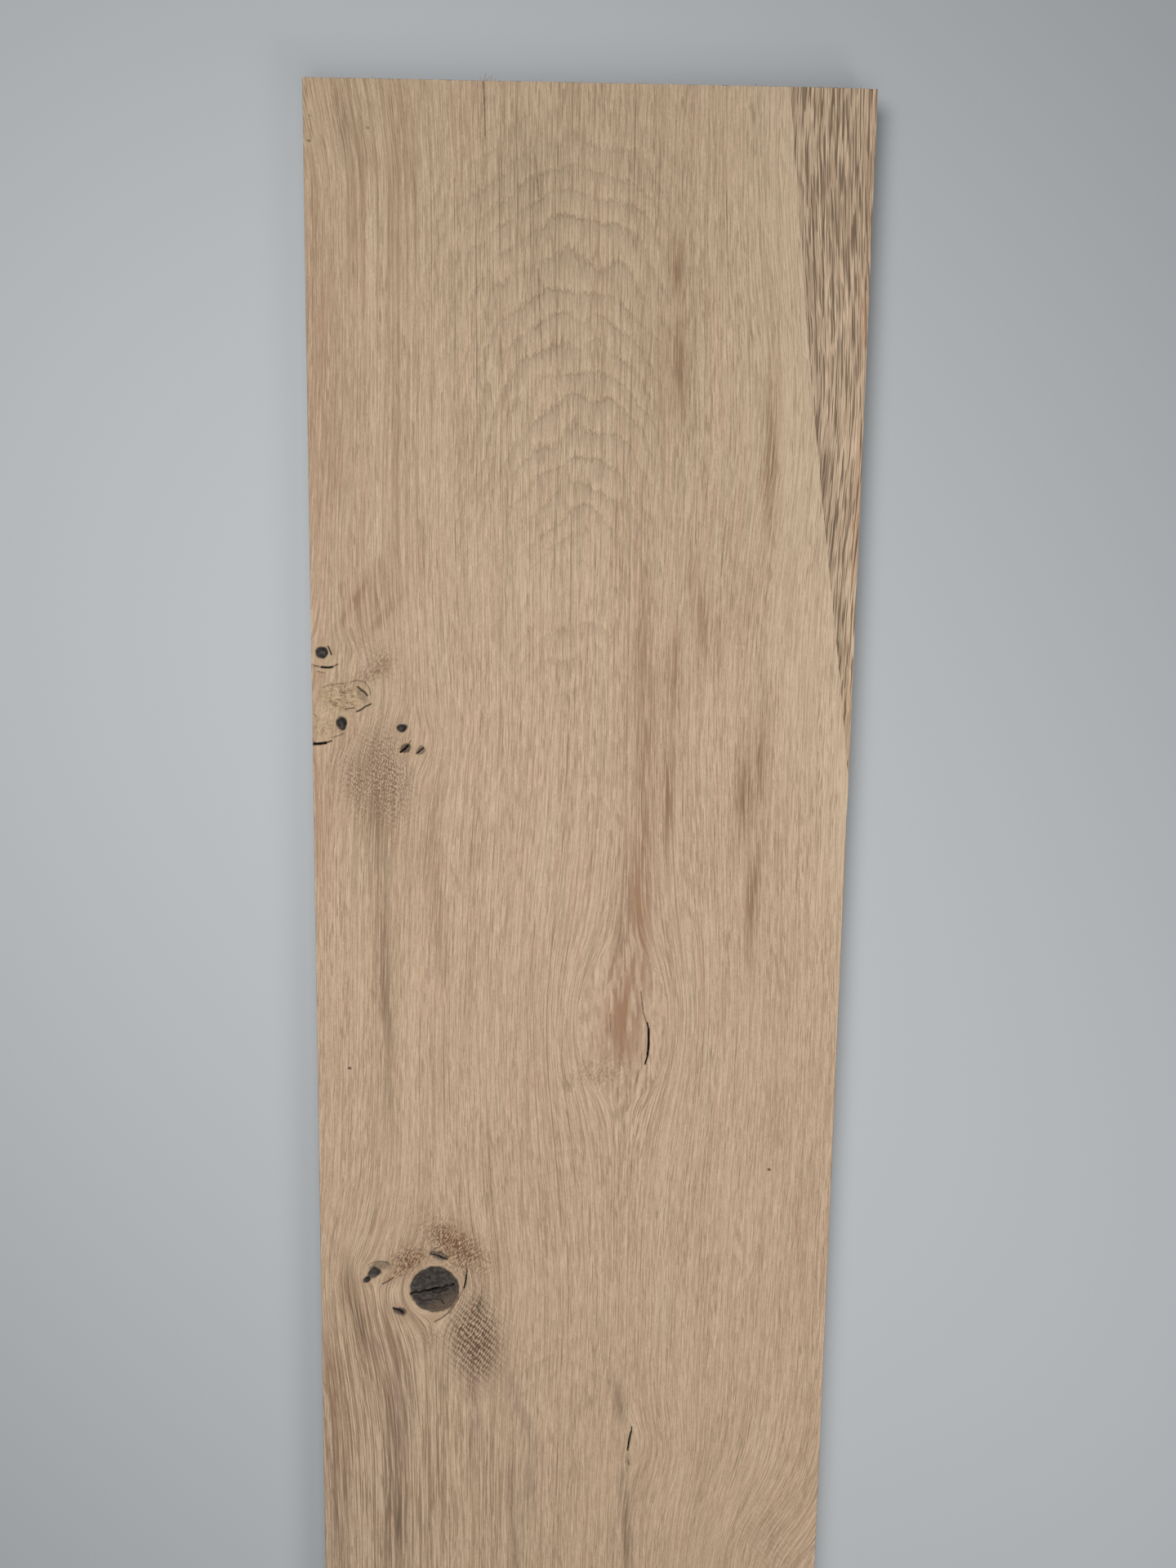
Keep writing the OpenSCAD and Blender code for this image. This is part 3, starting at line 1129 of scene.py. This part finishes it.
def figured_colour(finish, colour):
    _, fleck, burl = finish.stored("patch")
    scale, curl, _ = finish.stored("figure")
    under_knot = scales(finish, row_lean=-46, row_mm=3.3, dash_lean=28, dash_mm=1.6)
    short_scales = finish.spot_noise(0.55, 1.6, lean_deg=-6, detail=1.0, shift=0.61)
    under_burl = finish.total((short_scales, 2.2), (finish.stripes(-62, 2.8, 0.0), 0.15))
    for amount, pattern, dark_paint in ((fleck, under_knot, FLECK), (scale, under_burl, SCALE)):
        dark = finish.share(pattern, 0.45, 0.72)
        pale = finish.share(pattern, 0.2, 0.42, 1.0, 0.0)
        colour = finish.lay(
            colour,
            (amount, 0.2, dark_paint),
            (finish.times(amount, dark), 0.9, dark_paint),
            (finish.times(amount, pale), 0.75, FLECK_PALE),
        )
    steep_curls = finish.spot_noise(0.7, 2.6, lean_deg=34, detail=1.0, shift=0.47)
    flat_curls = finish.spot_noise(0.7, 2.0, lean_deg=-30, detail=1.0, shift=0.49)
    curls = finish.total((steep_curls, 2.2), (flat_curls, 1.0))
    mottle = finish.share(finish.spot_noise(3.2, 2.4, shift=0.57), 0.42, 0.66)
    specks = finish.share(finish.spot_noise(1.1, 0.9, shift=0.53), 0.56, 0.66)
    return finish.lay(
        colour,
        (curl, finish.share(curls, 0.46, 0.6, 0.1, 0.9), CURL_DARK),
        (curl, finish.share(curls, 0.3, 0.44, 0.35, 0.0), CURL_PALE),
        (burl, 0.5, BURL),
        (burl, finish.times(mottle, 0.55), BROWN),
        (burl, finish.times(specks, 0.8), CURL_DARK),
    )


print("stains and figure ready")

# %% Knotted oak
HALO = paint(196, 172, 134)
KNOT_BLACK = paint(30, 27, 25)
KNOT_GREY = paint(74, 68, 63)
KNOT_BROWN = paint(106, 86, 69)
# painted shade for the cracks and holes
CRACK_SHADE_BLACK = paint(16, 13, 11)
KNOT_RINGS = 9.0


def knotted_colour(finish, colour):
    core, halo, crack = finish.stored("knot")
    ring, browner, _ = finish.stored("heart")
    wander = finish.spot_noise(5, 5, shift=0.11)
    turns = finish.math("ADD", finish.times(ring, KNOT_RINGS), finish.times(wander, 2.4))
    rings = finish.share(finish.math("PINGPONG", turns, 0.5), 0.2, 0.45)
    patches = finish.share(finish.spot_noise(3.0, 2.2, shift=0.23), 0.35, 0.7)
    heart = finish.lay(
        finish.blend(patches, KNOT_BLACK, KNOT_GREY),
        (browner, finish.share(rings, 0.0, 1.0, 0.85, 0.5), KNOT_BROWN),
        (rings, 0.35, KNOT_BLACK),
    )
    colour = finish.lay(colour, (halo, 0.4, HALO), (finish.times(halo, rings), 0.5, PORE))
    # Painted shade blackens the cracks and holes over everything else.
    return finish.blend(crack, finish.blend(core, colour, heart), CRACK_SHADE_BLACK)


def planed_oak(name):
    finish = Finish(name)
    body = wood_body(finish)
    pores = open_pores(finish)
    colour = stained_colour(finish, fibre_colour(finish, body, pores))
    finish.colour(knotted_colour(finish, figured_colour(finish, colour)))
    finish.matt(0.62)
    finish.bump(finish.math("SUBTRACT", body, pores), 0.1, 0.35)
    return finish.material


print("planed oak ready")

# %% [markdown]
# ## The rough corner
# Where the planer has missed, the fibres are torn by the saw: fine threads along the grain, with
# painted shade in the thin gaps between them, mauve along the planed border and redder at the edge
# of the board. The larger fibres are real relief on the mesh, and the finish adds finer threads, the
# painted shade of the gaps and a little painted shade where that relief lies low.

# %% Rough oak
ROUGH_PALE = paint(224, 199, 170)
ROUGH_DEEP = paint(160, 133, 108)
ROUGH_MAUVE = paint(134, 110, 92)
ROUGH_OLIVE = paint(136, 118, 90)
ROUGH_RED = paint(190, 142, 102)
# painted shade for the gaps between the torn fibres
ROUGH_GAP_SHADE = paint(84, 66, 51)
OLIVE_DOWN = (0.2, 0.3)
DARKER_DOWN = (0.02, 0.16)
RED_EDGE = 7 * MM


def rough_oak(name):
    finish = Finish(name)
    threads = finish.grain_noise(0.75, 40, shift=3.0)
    finer = finish.grain_noise(0.45, 11, shift=6.0)
    bundles = finish.grain_noise(2.8, 80, shift=9.0)
    clouds = finish.grain_noise(9, 70, shift=15.0)
    # Painted shade in the thin gaps between the torn fibres, which the bump also sinks.
    gap_shade = finish.share(finish.grain_noise(0.65, 20, detail=0.0, shift=19.0), 0.55, 0.62)
    _, fibre, out = finish.stored("log")
    _, down, _ = finish.stored("grain")
    # low is 1 where the fibre relief lies lowest, and darkens it a little: painted shade in those hollows.
    low = finish.share(fibre, -0.6, 0.5, 1.0, 0.0)
    body = finish.total((threads, 0.9), (finer, 1.2), (bundles, 0.2), (low, 0.05))
    body = finish.math("ADD", body, finish.share(down, *DARKER_DOWN, 0.06, 0.02))
    colour = finish.blend(finish.share(body, 0.15, 0.9), ROUGH_PALE, ROUGH_DEEP)
    colour = finish.blend(finish.share(clouds, 0.45, 0.65, 0.0, 0.2), colour, ROUGH_MAUVE)
    by_border = finish.share(out, 0.03, 0.2, 1.0, 0.0)
    border = finish.times(by_border, finish.share(bundles, 0.3, 0.6, 0.3, 1.0))
    border_paint = finish.blend(finish.share(down, *OLIVE_DOWN), ROUGH_MAUVE, ROUGH_OLIVE)
    across, _, _ = finish.parts(finish.place())
    by_edge = finish.share(across, RIGHT - RED_EDGE, RIGHT)
    edge = finish.times(by_edge, finish.share(clouds, 0.35, 0.6))
    finish.colour(
        finish.lay(colour, (border, 0.5, border_paint), (edge, 0.35, ROUGH_RED), (gap_shade, 0.7, ROUGH_GAP_SHADE))
    )
    finish.matt(0.8)
    finish.bump(finish.math("SUBTRACT", threads, gap_shade), 0.2, 0.45)
    return finish.material


print("rough oak ready")

# %% [markdown]
# ## The sawn sides
# The edges, the ends and the underside come straight from the saw. On the edges and the underside
# the blade leaves faint lines across the fibres. On an end the fibres are cut across, so the rings
# show as arcs with open pores, crossed by pale rays that point to the heart of the trunk.

# %% Sawn oak
SAWN_PALE = paint(186, 160, 132)
SAWN_DEEP = paint(140, 114, 90)
END_PALE = paint(178, 150, 120)
END_DEEP = paint(120, 94, 70)
END_RAY = paint(196, 172, 142)


def sawn_oak(name, mark_mm):
    """Sawn along the fibres, with saw lines that far apart across them."""
    finish = Finish(name)
    body = wood_body(finish)
    wobble = finish.grain_noise(40, 30, detail=2.0, shift=61.0)
    _, along, _ = finish.stored("grain")
    turns = finish.math("ADD", finish.math("DIVIDE", along, mark_mm * MM), finish.times(wobble, 3.0))
    patches = finish.share(finish.grain_noise(9, 6, detail=2.0, shift=67.0), 0.35, 0.65)
    marks = finish.times(finish.math("PINGPONG", turns, 0.5), patches)
    colour = finish.blend(body, SAWN_PALE, SAWN_DEEP)
    colour = finish.lay(colour, (open_pores(finish), 0.5, PORE), (marks, 0.35, SAWN_DEEP))
    finish.colour(knotted_colour(finish, colour))
    finish.matt(0.78)
    finish.bump(finish.math("ADD", body, marks), 0.2, 0.6)
    return finish.material


def end_grain_oak(name):
    finish = Finish(name)
    number, angle, _ = finish.stored("ring")
    phase = finish.math("FRACT", number)
    spring = finish.times(finish.share(phase, 0.0, 0.15), finish.share(phase, 0.3, 0.7, 1.0, 0.0))
    dots = finish.share(finish.grain_noise(0.5, 40, shift=71.0), 0.52, 0.66)
    pores = finish.times(dots, finish.share(spring, 0.0, 1.0, 0.25, 1.0))
    spokes = finish.add("TexNoise", noise_dimensions="1D")
    finish.feed(spokes.inputs["W"], finish.times(angle, 110.0))
    rays = finish.share(spokes.outputs[0], 0.58, 0.7)
    clouds = finish.grain_noise(12, 60, detail=2.0, shift=73.0)
    body = finish.total((clouds, 1.2), (finish.math("ADD", spring, 0.3), 0.6))
    colour = finish.blend(finish.share(body, 0.1, 0.9), END_PALE, END_DEEP)
    finish.colour(finish.lay(colour, (rays, 0.4, END_RAY), (pores, 0.7, RAY)))
    finish.matt(0.85)
    finish.bump(finish.math("SUBTRACT", clouds, pores), 0.25, 0.6)
    return finish.material


print("sawn oak ready")

# %% [markdown]
# ## Putting the finishes on
# The material slots follow the order of the numbers that the faces were given. The plank then
# takes the place of the frame's plank part, which is hidden, and rides on its only body.

# %% Put the finishes on
EDGE_MARKS_MM = 2.4
UNDERSIDE_MARKS_MM = 4.0
SHARP_ANGLE = math.radians(35)

finishes = {
    PLANED: planed_oak("planed_oak"),
    ROUGH: rough_oak("rough_oak"),
    EDGE: sawn_oak("sawn_edge_oak", EDGE_MARKS_MM),
    END_GRAIN: end_grain_oak("end_grain_oak"),
    UNDERSIDE: sawn_oak("underside_oak", UNDERSIDE_MARKS_MM),
}
for number in sorted(finishes):
    mesh.materials.append(finishes[number])
for polygon in mesh.polygons:
    polygon.use_smooth = True
mesh.set_sharp_from_angle(angle=SHARP_ANGLE)
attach(plank, "root")
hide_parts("plank")
print("finishes", [material.name for material in mesh.materials])

# %% [markdown]
# ## Torn fibres
# A saw that leaves the wood lifts fibres out of the last edge that it cuts. They are thin closed
# slivers, each a five-sided cone that is cut twice across, bent a little and laid into the end.
# The longest were placed one by one, and a seeded draw scatters the short fuzz between them.

# %% Torn fibres


class TornFibre(NamedTuple):
    across: float  # from the left-hand edge, in millimetres
    below: float  # under the planed face
    length: float
    lean: float  # degrees to the right
    thick: float


FIBRE_SIDES = 5
FIBRE_CUTS = 2
FIBRE_ROOT = 0.8 * MM
FIBRE_TIP = 0.2
FIBRE_CURL = 0.25
FUZZ_COUNT = 46
FUZZ_SEED = 7
FUZZ_ACROSS = (2, 298)
FUZZ_BELOW = (0.3, 2.5)
FUZZ_LENGTH = (0.5, 1.2)
FUZZ_LEAN = (-25, 25)
FUZZ_THICK = 0.4
LONG_FIBRES = [
    TornFibre(92.5, 0.5, 2.2, -14, 0.5),
    TornFibre(94.8, 0.4, 3.8, -6, 0.55),
    TornFibre(95.6, 0.9, 3.0, 12, 0.45),
    TornFibre(97.6, 0.6, 3.4, 4, 0.5),
    TornFibre(99, 0.5, 2.0, 24, 0.45),
    TornFibre(36, 0.6, 1.6, 10, 0.5),
    TornFibre(124, 0.5, 1.7, -8, 0.45),
    TornFibre(143.5, 0.5, 2.4, 38, 0.6),
    TornFibre(178, 0.6, 1.5, 5, 0.45),
    TornFibre(236, 0.5, 1.6, -10, 0.45),
]
draw = random.Random(FUZZ_SEED)
fuzz = [
    TornFibre(
        across=draw.uniform(*FUZZ_ACROSS),
        below=draw.uniform(*FUZZ_BELOW),
        length=draw.uniform(*FUZZ_LENGTH),
        lean=draw.uniform(*FUZZ_LEAN),
        thick=FUZZ_THICK,
    )
    for _ in range(FUZZ_COUNT)
]

print(len(fuzz), "short fibres drawn")

# %% Slivers


def torn_fibre(torn):
    """One sliver whose root is inside the sawn end and whose tip points out of it."""
    length = torn.length * MM + FIBRE_ROOT
    thick = torn.thick * MM / 2
    sliver = bmesh.new()
    bmesh.ops.create_cone(
        sliver, cap_ends=True, segments=FIBRE_SIDES, radius1=thick, radius2=thick * FIBRE_TIP, depth=length
    )
    bmesh.ops.subdivide_edges(sliver, edges=edges_along(sliver, 2), cuts=FIBRE_CUTS)
    bmesh.ops.translate(sliver, vec=(0, 0, length / 2), verts=sliver.verts)
    for vert in sliver.verts:
        vert.co.x += FIBRE_CURL * vert.co.z**2 / length
    lie_down = Matrix.Rotation(math.radians(-90), 3, "X")
    turn = Matrix.Rotation(math.radians(-torn.lean), 3, "Z")
    bmesh.ops.rotate(sliver, cent=(0, 0, 0), matrix=turn @ lie_down, verts=sliver.verts)
    root = (LEFT + torn.across * MM, END - FIBRE_ROOT, FACE - torn.below * MM)
    bmesh.ops.translate(sliver, vec=root, verts=sliver.verts)
    bmesh.ops.recalc_face_normals(sliver, faces=sliver.faces)
    return sliver


fibre_bm = bmesh.new()
for torn in LONG_FIBRES + fuzz:
    one = torn_fibre(torn)
    one_mesh = bpy.data.meshes.new("one_fibre")
    one.to_mesh(one_mesh)
    one.free()
    fibre_bm.from_mesh(one_mesh)
    bpy.data.meshes.remove(one_mesh)
fibre_mesh = bpy.data.meshes.new("torn_fibres")
fibre_bm.to_mesh(fibre_mesh)
fibre_bm.free()
torn_fibres = bpy.data.objects.new("torn_fibres", fibre_mesh)
bpy.context.scene.collection.objects.link(torn_fibres)
print("torn fibres", len(LONG_FIBRES) + len(fuzz), "with", len(fibre_mesh.polygons), "faces")

# %% [markdown]
# ## The finish of the torn fibres
# They are the same wood, seen against the pale floor, so they are a plain tan whose threads run
# along them, a little darker here and there.

# %% Torn fibre finish
TORN_PALE = paint(196, 170, 138)
TORN_DEEP = paint(120, 95, 70)


def torn_oak(name):
    finish = Finish(name)
    threads = finish.spot_noise(0.7, 3.0, shift=0.71)
    finish.colour(finish.blend(finish.share(threads, 0.35, 0.65), TORN_PALE, TORN_DEEP))
    finish.matt(0.8)
    finish.bump(threads, 0.1, 0.4)
    return finish.material


fibre_mesh.materials.append(torn_oak("torn_fibre_oak"))
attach(torn_fibres, "root")
print("torn fibres finished")

# %% [markdown]
# ## The floor
# A plain pale floor carries the board and its shadow. It is one wide sheet, just under the board.

# %% Floor
FLOOR_SIZE = 30.0
FLOOR_GAP = 0.1 * MM
FLOOR_GREY = paint(183, 187, 190)
FLOOR_ROUGHNESS = 0.7

floor_mesh = bpy.data.meshes.new("floor")
floor_bm = bmesh.new()
bmesh.ops.create_grid(floor_bm, x_segments=1, y_segments=1, size=FLOOR_SIZE / 2)
bmesh.ops.translate(floor_bm, vec=(0, 0, -FLOOR_GAP), verts=floor_bm.verts)
floor_bm.to_mesh(floor_mesh)
floor_bm.free()
floor = bpy.data.objects.new("floor", floor_mesh)
bpy.context.scene.collection.objects.link(floor)
floor_finish = Finish("pale_floor")
floor_finish.shader.inputs["Base Color"].default_value = FLOOR_GREY
floor_finish.shader.inputs["Roughness"].default_value = FLOOR_ROUGHNESS
floor_mesh.materials.append(floor_finish.material)
print("floor", FLOOR_SIZE, "m wide")

# %% [markdown]
# ## The light
# A soft box hangs near the sawn end, a little to the left, so that the board's shadow falls to the
# right. A second one high over the middle lights the length, and a third at the lower right gives
# the lower left edge its own soft shadow. The world adds a little even light. What the camera sees
# of the world is as pale as the floor, which a light path node keeps apart.

# %% Soft boxes


def soft_box(name, x, from_end, height, size, watts, aim_from_end):
    data = bpy.data.lights.new(name, "AREA")
    data.shape = "SQUARE"
    data.size = size
    data.energy = watts
    lamp = bpy.data.objects.new(name, data)
    lamp.visible_camera = False
    lamp.location = (x, END - from_end, height)
    aim = Vector((0, END - aim_from_end, FACE)) - lamp.location
    lamp.rotation_euler = aim.to_track_quat("-Z", "Y").to_euler()
    bpy.context.scene.collection.objects.link(lamp)
    print(name, watts, "W")


soft_box("key", x=-0.25, from_end=0.1, height=0.9, size=0.4, watts=5.5, aim_from_end=0.4)
soft_box("above", x=0.0, from_end=0.7, height=1.2, size=0.6, watts=5.0, aim_from_end=0.7)
soft_box("low", x=0.5, from_end=0.9, height=0.8, size=0.4, watts=2.5, aim_from_end=0.6)

# %% World
WORLD_STRENGTH = 0.03
WORLD_WHITE = (1.0, 1.0, 1.0, 1.0)
SKY_GREY = paint(190, 193, 196)

world = bpy.data.worlds.new("studio")
bpy.context.scene.world = world
world.use_nodes = True
tree = world.node_tree
even_light = tree.nodes["Background"]
even_light.inputs["Color"].default_value = WORLD_WHITE
even_light.inputs["Strength"].default_value = WORLD_STRENGTH
pale_sky = tree.nodes.new("ShaderNodeBackground")
pale_sky.inputs["Color"].default_value = SKY_GREY
path = tree.nodes.new("ShaderNodeLightPath")
seen = path.outputs["Is Camera Ray"]
for kind in ("Is Glossy Ray", "Is Transmission Ray"):
    either = tree.nodes.new("ShaderNodeMath")
    either.operation = "MAXIMUM"
    tree.links.new(seen, either.inputs[0])
    tree.links.new(path.outputs[kind], either.inputs[1])
    seen = either.outputs[0]
mix = tree.nodes.new("ShaderNodeMixShader")
tree.links.new(seen, mix.inputs[0])
tree.links.new(even_light.outputs[0], mix.inputs[1])
tree.links.new(pale_sky.outputs[0], mix.inputs[2])
tree.links.new(mix.outputs[0], tree.nodes["World Output"].inputs["Surface"])
bpy.context.scene.view_settings.view_transform = "Standard"
print("world", WORLD_STRENGTH)

# %% Done
print("scene built")
